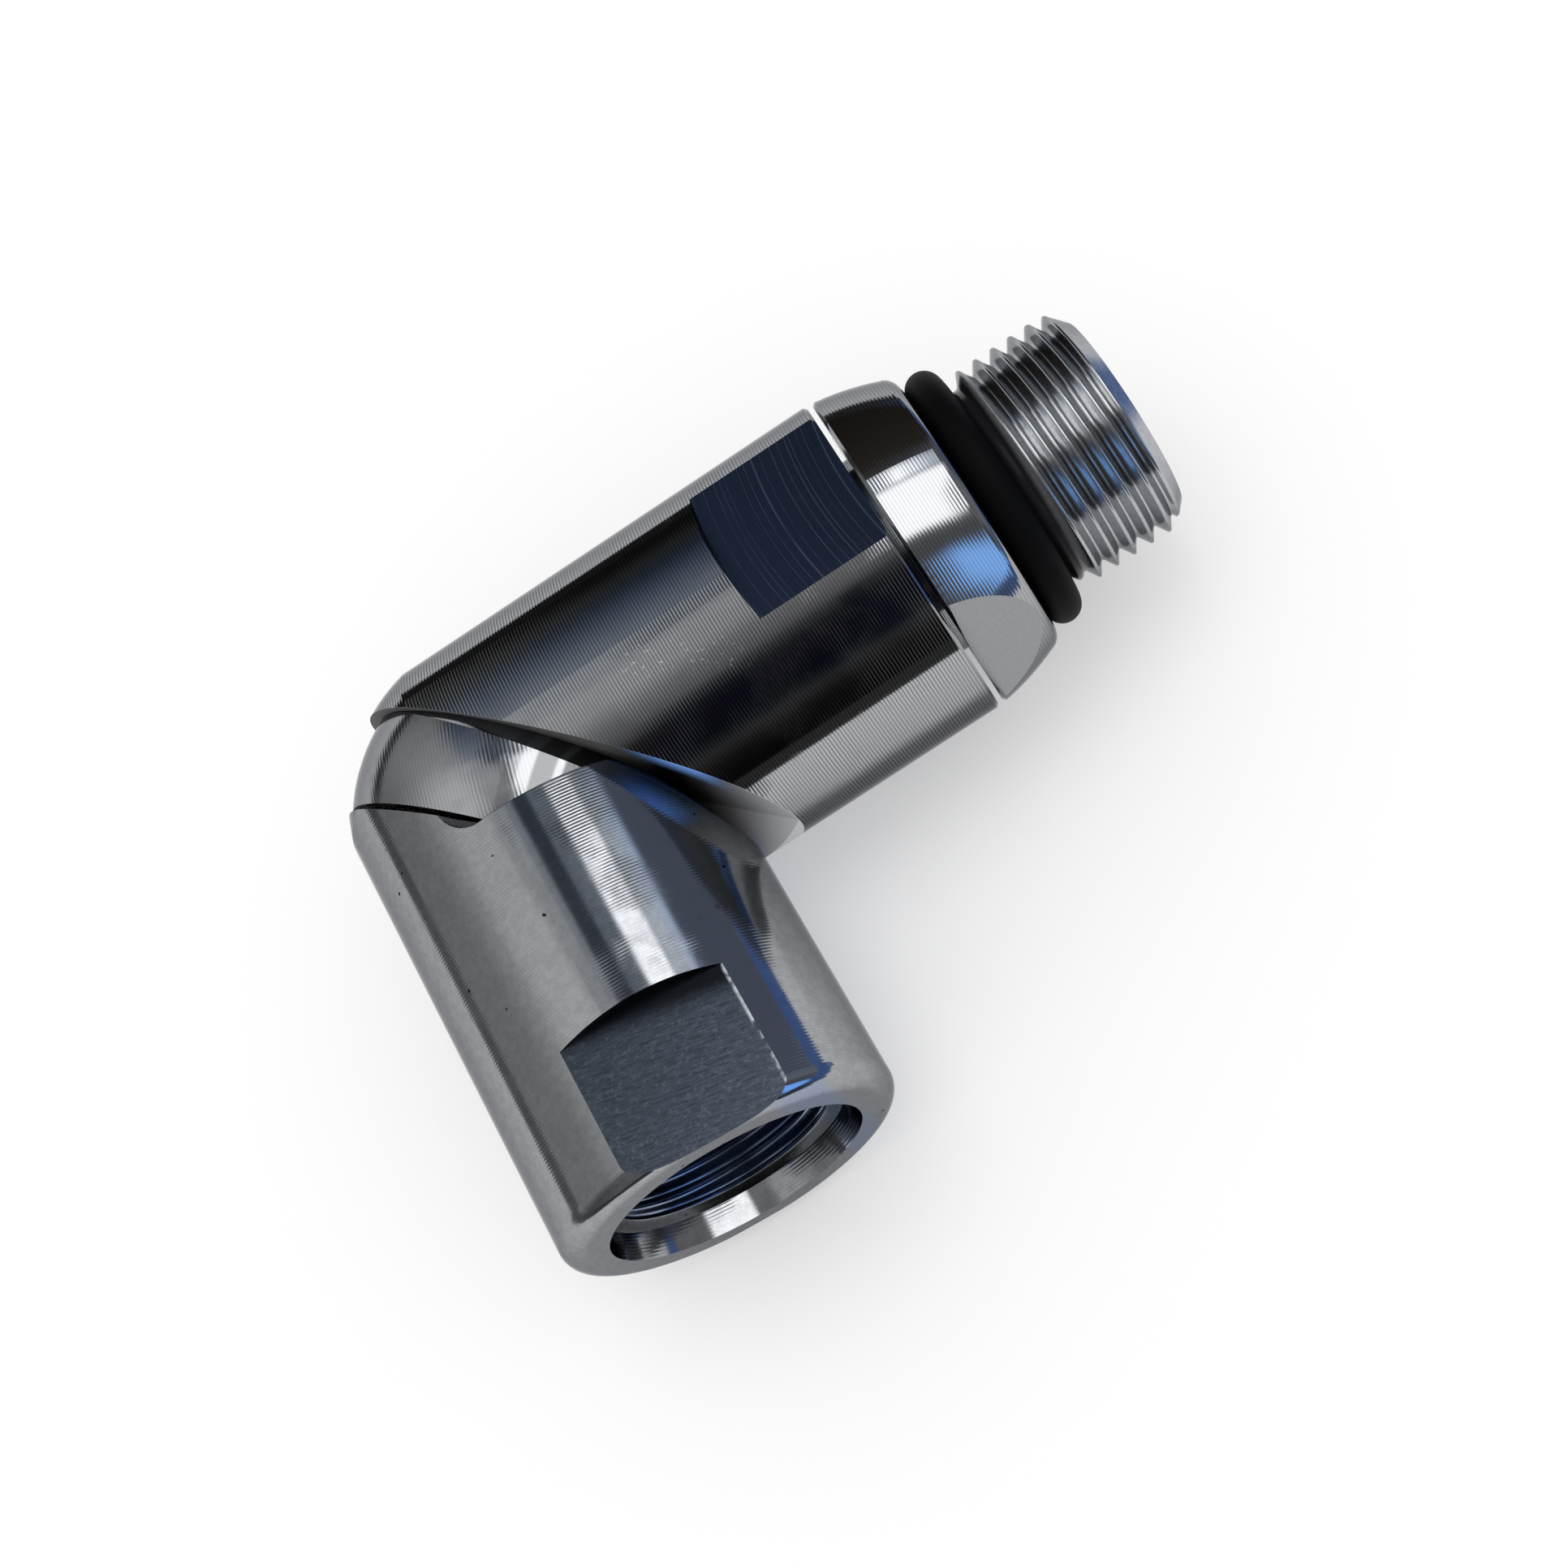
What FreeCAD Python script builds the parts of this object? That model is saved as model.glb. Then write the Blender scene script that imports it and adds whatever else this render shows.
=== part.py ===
# Ninety degree rotary union: a threaded stud that spins in a ball race, on an elbow with a threaded port.
# Lengths are in millimetres. The stud's axis runs along X, the port's axis along Y, and the elbow lies flat.
# Pieces are drawn about the elbow centre, where the two axes cross, and moved once when they are saved.
# The saved origin is the point of the stud's axis where its full thread starts.
import FreeCAD
import Part
import math
import os

# Bar stock and wrench flats
bar_radius = 15.875
across_flats = 28.0
flat_cutter_radius = 45.0
barrel_flat_length = 13.4
barrel_flat_turn = -9.6
port_flat_length = 13.4
port_flat_turn = -11.0
collar_flat_turn = 74.0

# Swivel barrel
barrel_end = 40.3
corner_proud = 0.275
mitre_offset = 3.04
edge_chamfer = 0.3
thrust_shoulder = 15.0

# Elbow knuckle, a turned ball that stands a little proud of the bar stock
ball_offset = 1.94
ball_proud = 0.725
knuckle_chamfer_angle = 45.0
horn_offset = 5.6
horn_gap = 0.35
horn_proud = 0.325
relief_angle = 21.3
neck_radius = 15.1
heel_slope = 0.48
heel_start = 9.0
scallop_radius = 8.0
scallop_depth = 0.92
scallop_along = 3.04
scallop_across = 2.2

# Flow passages and the spigots that locate the knuckle
passage_radius = 6.35
spigot_wall = 1.65
spigot_length = 5.2
fit_clearance = 0.03

# Threaded port
port_length = 40.7
port_rim_radius = 1.9
seat_radius = 11.98
seat_depth = 2.4
seat_angle = 12.0
seat_relief = 0.5
port_thread_radius = 10.14
port_thread_depth = 18.0
drill_point_angle = 118.0

# Stem, which carries the collar and the threaded stud
stem_bore_radius = 5.75
running_clearance = 0.05
swivel_gap = 0.5
collar_length = 7.3
collar_edge_drop = 0.12
collar_crown_drop = 0.85
collar_nose_drop = 1.75
collar_nose_length = 1.1
collar_nose_bulge = 0.35
shoulder_radius = 12.4
undercut_radius = 9.6
undercut_length = 3.5
stud_radius = 11.11
stud_length = 15.45
stud_tip_radius = 9.3
stud_tip_length = 1.6
bore_chamfer = 0.4
nose_chamfer = 0.5

# Ball race
ball_radius = 1.984
groove_clearance = 0.046
ball_spacing = 4.15
rear_row = 30.0
row_spacing = 5.2
plug_radius = 2.5
plug_depth = 1.75
plug_floor = 0.25
plug_socket_radius = 1.1
plug_socket_share = 0.5
loading_clearance = 0.07

# Rings
washer_thickness = 0.95
ring_clearance = 0.02
gland_depth = 2.2
gland_start = 2.2
gland_width = 4.6
backup_width = 1.1
guide_start = 8.2
guide_width = 2.7
guide_depth = 1.4
dust_groove_width = 2.2
dust_groove_depth = 2.25
dust_lip_width = 0.7
port_ring_section = 3.4

# Places worked out from the sizes above
plug_seat = across_flats / 2 - plug_depth
ball_centre_radius = plug_seat - plug_floor - ball_radius
journal_radius = ball_centre_radius - running_clearance / 2
balls_per_row = int(2 * math.pi * ball_centre_radius / ball_spacing)
groove_radius = ball_radius + groove_clearance
barrel_bore_radius = journal_radius + running_clearance
spigot_radius = passage_radius + spigot_wall
corner_radius = bar_radius + corner_proud
horn_radius = bar_radius + horn_proud
knuckle_ball_radius = bar_radius + ball_proud
knuckle_seat = ball_offset + math.sqrt(knuckle_ball_radius ** 2 - bar_radius ** 2)
stem_nose = thrust_shoulder + washer_thickness + 2 * running_clearance
collar_start = barrel_end + swivel_gap
shoulder = collar_start + collar_length
thread_run_in = stud_radius - undercut_radius
thread_start = shoulder + undercut_length + thread_run_in
stud_end = shoulder + stud_length
front_row = rear_row + row_spacing
reach = 4 * bar_radius

axis_x = FreeCAD.Vector(1, 0, 0)
axis_z = FreeCAD.Vector(0, 0, 1)
port_way = FreeCAD.Vector(0, -1, 0)
mitre_normal = FreeCAD.Vector(1, 1, 0).normalize()
mitre_along = FreeCAD.Vector(1, -1, 0).normalize()
centre = FreeCAD.Vector(0, 0, 0)


def rod(radius, start, end, way=axis_x):
    """Cylinder about one of the elbow's axes, between two distances from the elbow centre."""
    return Part.makeCylinder(radius, end - start, way * start, way)


def turned(points, way=axis_x):
    """Solid turned about an axis from an outline of (distance along, radius) points.

    A point with three more values is the end of an arc that passes through the first two of them."""
    across = axis_z

    def place(along, radius):
        return way * along + across * radius

    edges = []
    last = place(*points[0])
    for point in points[1:]:
        here = place(point[0], point[1])
        if len(point) == 4:
            edges.append(Part.Arc(last, place(point[2], point[3]), here).toShape())
        else:
            edges.append(Part.LineSegment(last, here).toShape())
        last = here
    edges.append(Part.LineSegment(last, place(*points[0])).toShape())
    face = Part.Face(Part.Wire(edges))
    return face.revolve(centre, way, 360)


def ring(inner, outer, start, end, way=axis_x):
    """Square-cut ring about one of the elbow's axes."""
    return rod(outer, start, end, way).cut(rod(inner, start - 1, end + 1, way))


def beyond(point, way):
    """Block that fills the side of a plane to which the way points."""
    block = Part.makeBox(2 * reach, 2 * reach, 2 * reach, FreeCAD.Vector(-reach, -reach, 0))
    block.Placement = FreeCAD.Placement(point, FreeCAD.Rotation(axis_z, way))
    return block


def turn_about(way, angle, start):
    """Direction square to the way, turned from the start direction by an angle in degrees."""
    return FreeCAD.Rotation(way, angle).multVec(start)


def mill_flats(piece, way, first, length, angle, cutter=flat_cutter_radius):
    """Cuts two opposite wrench flats, with the cutter's arc where each one starts."""
    for half_turn in (0, 180):
        normal = turn_about(way, angle + half_turn, axis_z)
        base = way * (first + cutter) + normal * (across_flats / 2)
        block = Part.makeCylinder(cutter, bar_radius, base, normal)
        piece = piece.cut(block.common(rod(2 * bar_radius, first, first + length + cutter, way)))
    return piece


def race_groove(row):
    """Round groove for one row of balls."""
    return Part.makeTorus(ball_centre_radius, groove_radius, axis_x * row, axis_x)


def below_mitre(slope, gap=fit_clearance):
    """Everything on the port's side of the mitre face, falling away outside its round neck by an angle."""
    drop = reach * math.tan(math.radians(slope))
    face = mitre_offset - gap
    outline = [
        (face, 0),
        (face, neck_radius),
        (face - drop, neck_radius + reach),
        (face - drop - reach, neck_radius + reach),
        (face - drop - reach, 0),
    ]
    return turned(outline, mitre_normal)


def horn_space():
    """Room that the knuckle needs in the port body, above its seat and the horn beside it."""
    above_seat = beyond(port_way * knuckle_seat, port_way * -1)
    above_horn = beyond(mitre_normal * -(horn_offset + horn_gap), mitre_normal)
    return above_seat.common(above_horn)


def loading_way():
    """Direction of the ball loading holes, out of the middle of the barrel's far flat."""
    return turn_about(axis_x, barrel_flat_turn + 180, axis_z)


def swivel_barrel():
    """Outer race and seal housing, cut off at forty-five degrees at the elbow."""
    corner_start = -math.sqrt(corner_radius ** 2 - bar_radius ** 2)
    half_arc = math.radians(180) - math.asin(bar_radius / corner_radius) / 2
    corner_mid = (corner_radius * math.cos(half_arc), corner_radius * math.sin(half_arc))
    outline = [
        (-corner_radius, 0),
        (corner_start, bar_radius) + corner_mid,
        (barrel_end - edge_chamfer, bar_radius),
        (barrel_end, bar_radius - edge_chamfer),
        (barrel_end, 0),
    ]
    barrel = turned(outline)
    uncut = barrel
    barrel = barrel.cut(beyond(mitre_normal * mitre_offset, mitre_normal * -1))
    barrel = barrel.fuse(heel(uncut)).removeSplitter()
    barrel = mill_flats(barrel, axis_x, barrel_end - barrel_flat_length, barrel_flat_length, barrel_flat_turn)
    barrel = barrel.cut(rod(spigot_radius + fit_clearance, -reach, thrust_shoulder + 1))
    barrel = barrel.cut(rod(barrel_bore_radius, thrust_shoulder, barrel_end + 1))
    dust_groove = journal_radius + dust_groove_depth
    barrel = barrel.cut(rod(dust_groove, barrel_end - dust_groove_width, barrel_end + 1))
    for row in (rear_row, front_row):
        barrel = barrel.cut(race_groove(row))
        barrel = barrel.cut(loading_hole(row))
    return barrel


def heel(barrel):
    """Web that runs from the barrel's mitre face to the port's relief, below the inner corner."""
    mitre = mitre_normal * mitre_offset
    web = barrel.cut(beyond(mitre, mitre_normal))
    web = web.common(beyond(mitre, mitre_normal - axis_z * heel_slope))
    web = web.common(beyond(mitre_along * heel_start, mitre_along))
    web = web.cut(Part.makeCylinder(neck_radius, 2 * reach, mitre_normal * -reach, mitre_normal))
    return web.cut(below_mitre(relief_angle, 0))


def loading_hole(row):
    """Stepped hole through which one row of balls is filled."""
    way = loading_way()
    narrow = Part.makeCylinder(ball_radius + loading_clearance, across_flats / 2, axis_x * row, way)
    narrow = narrow.cut(rod(ball_centre_radius, row - 2 * ball_radius, row + 2 * ball_radius))
    wide = Part.makeCylinder(plug_radius, bar_radius, axis_x * row + way * plug_seat, way)
    return narrow.fuse(wide)


def loading_plug(row):
    """Screwed plug that closes a loading hole, with a hexagon socket."""
    way = loading_way()
    base = axis_x * row + way * (plug_seat + fit_clearance)
    depth = plug_depth - 2 * fit_clearance
    plug = Part.makeCylinder(plug_radius - fit_clearance, depth, base, way)
    side = way.cross(axis_x)
    floor = base + way * depth * (1 - plug_socket_share)
    corners = []
    for number in range(7):
        angle = math.radians(60 * number)
        spoke = axis_x * math.cos(angle) + side * math.sin(angle)
        corners.append(floor + spoke * plug_socket_radius)
    socket = Part.Face(Part.makePolygon(corners)).extrude(way * plug_depth)
    return plug.cut(socket)


def elbow_knuckle():
    """Ball that joins barrel and port at right angles, with a spigot into each and a cross-drilled passage."""
    port_side = beyond(port_way * (knuckle_seat - fit_clearance), port_way)
    barrel_side = beyond(mitre_normal * mitre_offset, mitre_normal)
    ball = Part.makeSphere(knuckle_ball_radius, port_way * ball_offset)
    ball = ball.cut(port_side)
    ball = ball.cut(beyond(mitre_normal * -horn_offset, mitre_normal * -1))
    ball = ball.common(below_mitre(knuckle_chamfer_angle))
    barrel_spigot = rod(spigot_radius, 0, thrust_shoulder - fit_clearance)
    ball = ball.fuse(barrel_spigot.cut(port_side.cut(barrel_side)))
    ball = ball.fuse(rod(spigot_radius, 0, knuckle_seat + spigot_length, port_way))
    for way in (axis_x, port_way):
        ball = ball.cut(rod(passage_radius, 0, reach, way))
    return ball.cut(Part.makeSphere(passage_radius)).removeSplitter()


def port_body():
    """Threaded port with its conical seat, and a horn that wraps the outside of the knuckle."""
    rim = port_rim_radius
    rim_mid = rim * (1 - math.sqrt(0.5))
    outline = [
        (-horn_radius, 0),
        (-horn_radius, bar_radius),
        (port_length - rim, bar_radius),
        (port_length, bar_radius - rim, port_length - rim_mid, bar_radius - rim_mid),
        (port_length, 0),
    ]
    body = turned(outline, port_way)
    first_flat = port_length - port_flat_length
    body = mill_flats(body, port_way, first_flat, port_flat_length, port_flat_turn)
    body = body.cut(horn_space())
    horn_limit = Part.makeSphere(horn_radius).fuse(rod(2 * bar_radius, 0, reach, port_way))
    body = body.common(horn_limit)
    body = body.common(below_mitre(relief_angle))
    for side in (1, -1):
        body = body.cut(scallop(side))
    body = body.cut(port_hollow())
    return body.removeSplitter()


def scallop(side):
    """Round-nosed relief where the horn meets the knuckle's seat, on one face of the elbow."""
    height = math.sqrt(bar_radius ** 2 - scallop_across ** 2) + scallop_radius - scallop_depth
    spot = FreeCAD.Vector(-scallop_across, -scallop_along, side * height)
    return Part.makeSphere(scallop_radius, spot)


def port_hollow():
    """Seat, thread bore, drill point and passage of the port, with the spigot's counterbore."""
    seat_end = port_length - seat_depth
    seat_floor = seat_radius - seat_depth * math.tan(math.radians(seat_angle))
    relief_end = seat_end - seat_relief
    thread_end = port_length - port_thread_depth
    drill_point = (port_thread_radius - passage_radius) / math.tan(math.radians(drill_point_angle / 2))
    spigot_hole = spigot_radius + fit_clearance
    spigot_end = knuckle_seat + spigot_length + fit_clearance
    outline = [
        (0, 0),
        (0, spigot_hole),
        (spigot_end, spigot_hole),
        (spigot_end, passage_radius),
        (thread_end - drill_point, passage_radius),
        (thread_end, port_thread_radius),
        (relief_end, port_thread_radius),
        (seat_end, seat_floor),
        (port_length, seat_radius),
        (port_length + 1, seat_radius),
        (port_length + 1, 0),
    ]
    return turned(outline, port_way)


def male_stem():
    """Journal, collar and threaded stud in one turned piece, with a through bore."""
    crown_mid = (collar_start + collar_length * 0.5, bar_radius - collar_crown_drop)
    nose_start = shoulder - collar_nose_length
    nose_radius = bar_radius - collar_nose_drop
    nose_mid_radius = (nose_radius + shoulder_radius) / 2 + collar_nose_bulge
    nose_mid = (shoulder - collar_nose_length * 0.3, nose_mid_radius)
    edge = edge_chamfer
    gland = stem_nose + gland_start
    guide = stem_nose + guide_start
    gland_floor = journal_radius - gland_depth
    guide_floor = journal_radius - guide_depth
    outline = [
        (stem_nose, stem_bore_radius),
        (stem_nose, journal_radius - nose_chamfer),
        (stem_nose + nose_chamfer, journal_radius),
        (gland, journal_radius),
        (gland, gland_floor),
        (gland + gland_width, gland_floor),
        (gland + gland_width, journal_radius),
        (guide, journal_radius),
        (guide, guide_floor),
        (guide + guide_width, guide_floor),
        (guide + guide_width, journal_radius),
        (collar_start, journal_radius),
        (collar_start, bar_radius - collar_edge_drop - edge),
        (collar_start + edge, bar_radius - collar_edge_drop),
        (nose_start, nose_radius) + crown_mid,
        (shoulder, shoulder_radius) + nose_mid,
        (shoulder, undercut_radius),
        (shoulder + undercut_length, undercut_radius),
        (thread_start, stud_radius),
        (stud_end - stud_tip_length, stud_radius),
        (stud_end, stud_tip_radius),
        (stud_end, stem_bore_radius + bore_chamfer),
        (stud_end - bore_chamfer, stem_bore_radius),
    ]
    stem = turned(outline)
    for row in (rear_row, front_row):
        stem = stem.cut(race_groove(row))
    return mill_flats(stem, axis_x, collar_start, collar_length, collar_flat_turn, reach)


def ball_row(row):
    """One full row of balls, as a group of separate solids."""
    balls = []
    for number in range(balls_per_row):
        spoke = turn_about(axis_x, 360 * number / balls_per_row, axis_z)
        balls.append(Part.makeSphere(ball_radius, axis_x * row + spoke * ball_centre_radius))
    return Part.makeCompound(balls)


def gland_ring(start, width):
    """Flat ring that fills the stem's seal gland from its floor to the barrel's bore."""
    inner = journal_radius - gland_depth + ring_clearance
    outer = barrel_bore_radius - ring_clearance
    return ring(inner, outer, start, start + width)


def stem_seal():
    """Round sealing ring in the middle of the stem's gland."""
    inner = journal_radius - gland_depth + ring_clearance
    outer = barrel_bore_radius - ring_clearance
    middle = stem_nose + gland_start + gland_width / 2
    return Part.makeTorus((inner + outer) / 2, (outer - inner) / 2, axis_x * middle, axis_x)


def backup_ring(side):
    """Flat ring beside the seal, at the end of the gland that the side names."""
    middle = stem_nose + gland_start + gland_width / 2
    offset = gland_width / 2 - ring_clearance
    start = middle - offset if side < 0 else middle + offset - backup_width
    return gland_ring(start, backup_width)


def guide_ring():
    """Bearing strip that keeps the stem central beside the seal."""
    start = stem_nose + guide_start + ring_clearance
    inner = journal_radius - guide_depth + ring_clearance
    outer = barrel_bore_radius - ring_clearance
    return ring(inner, outer, start, start + guide_width - 2 * ring_clearance)


def thrust_washer():
    """Washer between the barrel's shoulder and the stem's inner end."""
    start = thrust_shoulder + fit_clearance
    inner = passage_radius + running_clearance
    outer = barrel_bore_radius - ring_clearance
    return ring(inner, outer, start, start + washer_thickness)


def dust_seal():
    """Wiper ring in the barrel's mouth, with one lip towards the journal."""
    start = barrel_end - dust_groove_width + ring_clearance
    outer = journal_radius + dust_groove_depth - ring_clearance
    body_inner = journal_radius + dust_lip_width
    lip_start = barrel_end - dust_lip_width
    outline = [
        (start, body_inner),
        (start, outer),
        (barrel_end, outer),
        (barrel_end, journal_radius + running_clearance),
        (lip_start, journal_radius + running_clearance),
        (lip_start - dust_lip_width, body_inner),
    ]
    return turned(outline)


def port_ring():
    """Sealing ring on the stud's undercut, against the shoulder."""
    section = port_ring_section / 2
    place = shoulder + ring_clearance + section
    return Part.makeTorus(undercut_radius + ring_clearance + section, section, axis_x * place, axis_x)


def save(name, shape):
    """Moves a piece from the elbow centre to the saved origin and writes it."""
    shape = shape.copy()
    shape.translate(axis_x * -thread_start)
    shape.exportStep("parts/" + name + ".step")


def main():
    os.makedirs("parts", exist_ok=True)
    save("swivel_barrel", swivel_barrel())
    save("elbow_knuckle", elbow_knuckle())
    save("port_body", port_body())
    save("male_stem", male_stem())
    save("port_o_ring", port_ring())
    save("stem_seal", stem_seal())
    save("inner_backup_ring", backup_ring(-1))
    save("outer_backup_ring", backup_ring(1))
    save("guide_ring", guide_ring())
    save("thrust_washer", thrust_washer())
    save("dust_seal", dust_seal())
    save("rear_ball_row", ball_row(rear_row))
    save("front_ball_row", ball_row(front_row))
    save("rear_loading_plug", loading_plug(rear_row))
    save("front_loading_plug", loading_plug(front_row))


main()
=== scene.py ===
import math

import bmesh
import bpy
from mathutils import Euler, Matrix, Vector


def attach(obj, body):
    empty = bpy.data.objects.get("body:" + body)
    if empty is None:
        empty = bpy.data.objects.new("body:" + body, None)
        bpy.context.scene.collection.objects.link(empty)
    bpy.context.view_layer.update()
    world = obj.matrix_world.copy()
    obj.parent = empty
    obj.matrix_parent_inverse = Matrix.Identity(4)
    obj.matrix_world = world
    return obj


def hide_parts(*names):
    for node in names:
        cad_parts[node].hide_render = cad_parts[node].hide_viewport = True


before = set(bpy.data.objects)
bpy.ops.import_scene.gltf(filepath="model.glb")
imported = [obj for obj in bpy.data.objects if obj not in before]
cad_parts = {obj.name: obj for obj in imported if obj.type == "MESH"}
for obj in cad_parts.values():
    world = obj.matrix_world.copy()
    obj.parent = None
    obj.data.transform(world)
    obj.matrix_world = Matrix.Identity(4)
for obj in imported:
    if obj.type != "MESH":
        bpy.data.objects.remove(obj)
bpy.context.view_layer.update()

MM = 0.001
# The elbow centre, where the stud's axis and the port's axis cross, in the row frame.
ELBOW = Vector((-53.11, 0.0, 0.0)) * MM
FLOOR_Z = -16.62 * MM

# Sizes repeated from the solids, in millimetres from the elbow centre along each arm.
THREAD_PITCH = 1.814
STUD_RADIUS = 11.11
STUD_ROOT = 9.98
STUD_START = 51.62
STUD_END = 63.55
STUD_TIP_RADIUS = 9.3
STUD_TIP_LENGTH = 1.6
UNDERCUT_RADIUS = 9.6
PORT_MINOR = 10.14
PORT_MAJOR = 11.15
PORT_THREAD_TOP = 37.8
PORT_THREAD_END = 22.7
BARREL_FLAT_TURN = -9.6
PORT_FLAT_TURN = -11.0
COLLAR_FLAT_TURN = 74.0
FLAT_CUTTER = 45.0
ACROSS_FLATS = 28.0
BAR_RADIUS = 15.875
MITRE_OFFSET = 3.04
PORT_LENGTH = 40.7
PORT_FLAT_LENGTH = 13.4

# How far the threads take to reach their full depth, and to fade at the port's mouth, in millimetres.
STUD_RUN_IN = 1.3
PORT_RUN_IN = 1.5
PORT_FADE = 0.7
# How far a face may lie from a size and still count as being on it, in millimetres.
NEAR = 0.05
# Vertices of a thread that lie nearer than this, in metres, are joined.
WELD_DISTANCE = 0.000002
STEPS_ROUND = 144

# Marks of the tools, in millimetres, and how far the knuckle's rings turn from the stud arm, in degrees.
RING_PITCH = 0.30
KNUCKLE_RING_PITCH = 0.34
KNUCKLE_RING_TURN = 15.0
ARC_PITCH = 0.86
# Stripes of painted shade on the knuckle: distance along the mitre, half width in millimetres, and depth.
KNUCKLE_SHADE_STRIPES = ((5.3, 0.5, 0.75), (7.85, 0.75, 0.50), (10.3, 0.95, 0.34))
# Heights of fine bumps, in metres.
FINE = 0.00001
RING_DEPTH = 0.000007
COLLAR_RING_DEPTH = 0.000006

# Colours
STEEL = (0.352, 0.360, 0.372)
BLACK = (0.0, 0.0, 0.0)
# Painted shade for the recessed neck under the sealing ring and the thread's run-in.
NECK_SHADE = (0.012, 0.012, 0.014)
DENT = (0.85, 0.87, 0.90)
BARREL_FLAT = ((0.045, 0.062, 0.105), (0.108, 0.136, 0.195))
BARREL_FLAT_LINE = (0.42, 0.47, 0.56)
# A painted blue sheen for the rim of the barrel's mitre face.
PAINTED_RIM_SHEEN = (0.22, 0.44, 1.0)
PIT = (0.02, 0.02, 0.022)
# Painted shade with a blue tint of painted reflection, laid down one side of the port.
PORT_SIDE_SHADE = (0.27, 0.32, 0.43)
# Painted shade for the port's shoulder next to the barrel.
PORT_SHOULDER_SHADE = (0.03, 0.05, 0.11)
PORT_FLAT = ((0.034, 0.043, 0.058), (0.088, 0.102, 0.128))
PORT_FLAT_BLOTCH = (0.14, 0.155, 0.185)
PORT_FLAT_GLINT = (0.34, 0.37, 0.42)
# A painted shadow along the start of the port's flats, by the milled step.
PORT_FLAT_STEP_SHADOW = (0.008, 0.009, 0.011)
PORT_FLAT_EDGE = (0.55, 0.58, 0.62)
PORT_THREAD_COLOR = (0.26, 0.31, 0.42)
# The mitre face's painted shade by its place along the mitre, in millimetres: painted dark shade in the
# pocket, painted light towards the heel.
PAINTED_POCKET_SHADE = ((8.0, 0.12), (13.0, 0.004), (15.0, 0.006), (17.0, 0.045), (19.0, 0.16), (21.0, 0.33),
                 (23.0, 0.50), (25.0, 0.62))
POCKET_SPAN = (8.0, 26.0)
# How much of the light the steel mirrors where it is seen at a slant.
EDGE_TINT = 0.45

# The light tent: what the metal mirrors, by direction. Each strip is a ramp from the port's side (-1) to
# the other side (1), of greys and colours.
TENT_RADIUS = 0.9
LEFT_STRIP = ((-1.0, 0.20), (-0.4, 0.32), (-0.1, 0.85), (0.0, 1.0), (0.3, 0.95), (0.40, 0.86), (0.6, 0.55),
              (0.85, 0.42), (1.0, 0.25))
FAR_LEFT = (0.06, 0.06, 0.065)
FAR_LEFT_SHARE = 0.62
MIDDLE_STRIP = ((-0.99, 0.006), (-0.95, 0.016), (-0.885, 0.055), (-0.79, 0.008),
                (-0.61, (0.014, 0.010, 0.016)), (-0.52, 0.03), (-0.43, 0.15), (-0.224, 0.31),
                (-0.01, 0.60), (0.2, 0.66), (0.396, (0.42, 0.46, 0.52)), (0.593, (0.23, 0.27, 0.34)),
                (0.75, (0.10, 0.13, 0.20)), (0.873, (0.035, 0.05, 0.072)), (0.955, 0.035), (0.99, 0.012))
RIGHT_STRIP = ((-1.0, 0.12), (-0.90, 0.16), (-0.5, 0.14), (-0.36, 0.16), (-0.30, 0.25), (0.0, 0.30),
               (0.30, (0.20, 0.23, 0.28)), (0.42, (0.13, 0.15, 0.18)), (0.56, (0.045, 0.036, 0.03)),
               (1.0, (0.022, 0.018, 0.014)))
# Soft cards on the tent, laid in this order: centre and half size by x and y of the direction, softness
# of the edge, colour, and how far the card leans towards +x as y grows.
CARDS = (
    ((0.27, 0.40), (0.11, 0.05), 0.04, (0.29, 0.34, 0.39), 0.0),
    ((0.84, 0.38), (0.16, 0.14), 0.05, (0.165, 0.17, 0.19), 0.0),
    ((0.44, -0.01), (0.30, 0.28), 0.035, (2.7, 2.7, 2.7), 0.30),
    ((-0.16, 0.38), (0.09, 0.06), 0.03, (0.66, 0.67, 0.68), 0.0),
    ((0.68, 0.35), (0.08, 0.06), 0.025, (1.0, 1.1, 1.22), 0.0),
    ((0.475, 0.35), (0.115, 0.06), 0.025, (2.8, 2.8, 2.85), 0.0),
    ((0.09, 0.40), (0.08, 0.10), 0.025, (0.07, 0.08, 0.105), 0.0),
    ((0.03, -0.64), (0.07, 0.24), 0.05, (0.004, 0.008, 0.02), 0.0),
    ((0.69, -0.68), (0.24, 0.14), 0.06, (0.50, 1.00, 1.95), 0.0),
)

# The low ring round the part, in metres, and its greys from the port's side (-1) to the other side (1).
HORIZON_RADIUS = 0.16
HORIZON_DEPTH = 0.026
HORIZON_LIFT = 0.014
HORIZON_STRIP = ((-1.0, 0.05), (-0.5, 0.14), (0.3, 0.2), (0.75, 0.05), (1.0, 0.02))
HORIZON_BLUE = (0.11, 0.20, 0.47)

# The floor is a light table: part of its light is its own, so that shadows on it stay pale.
FLOOR_RADIUS = 0.85
FLOOR_COLOR = 0.62
FLOOR_GLOW = 0.33

# One soft light from above, in metres and watts.
LIGHT_PLACE = Vector((-0.05, 0.10, 0.8))
LIGHT_TARGET = Vector((-0.035, -0.01, 0.0))
LIGHT_SIZE = 0.5
LIGHT_POWER = 1.1

# The camera, fitted to the photograph: millimetres from the elbow centre, and degrees.
CAMERA_PLACE = Vector((39.718, -99.739, 200.559))
CAMERA_TURN = (17.73328, 16.53125, -29.38808)
CAMERA_LENS = 57.322
CAMERA_SENSOR = 36.0
CAMERA_CLIP = (0.005, 20.0)


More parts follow.
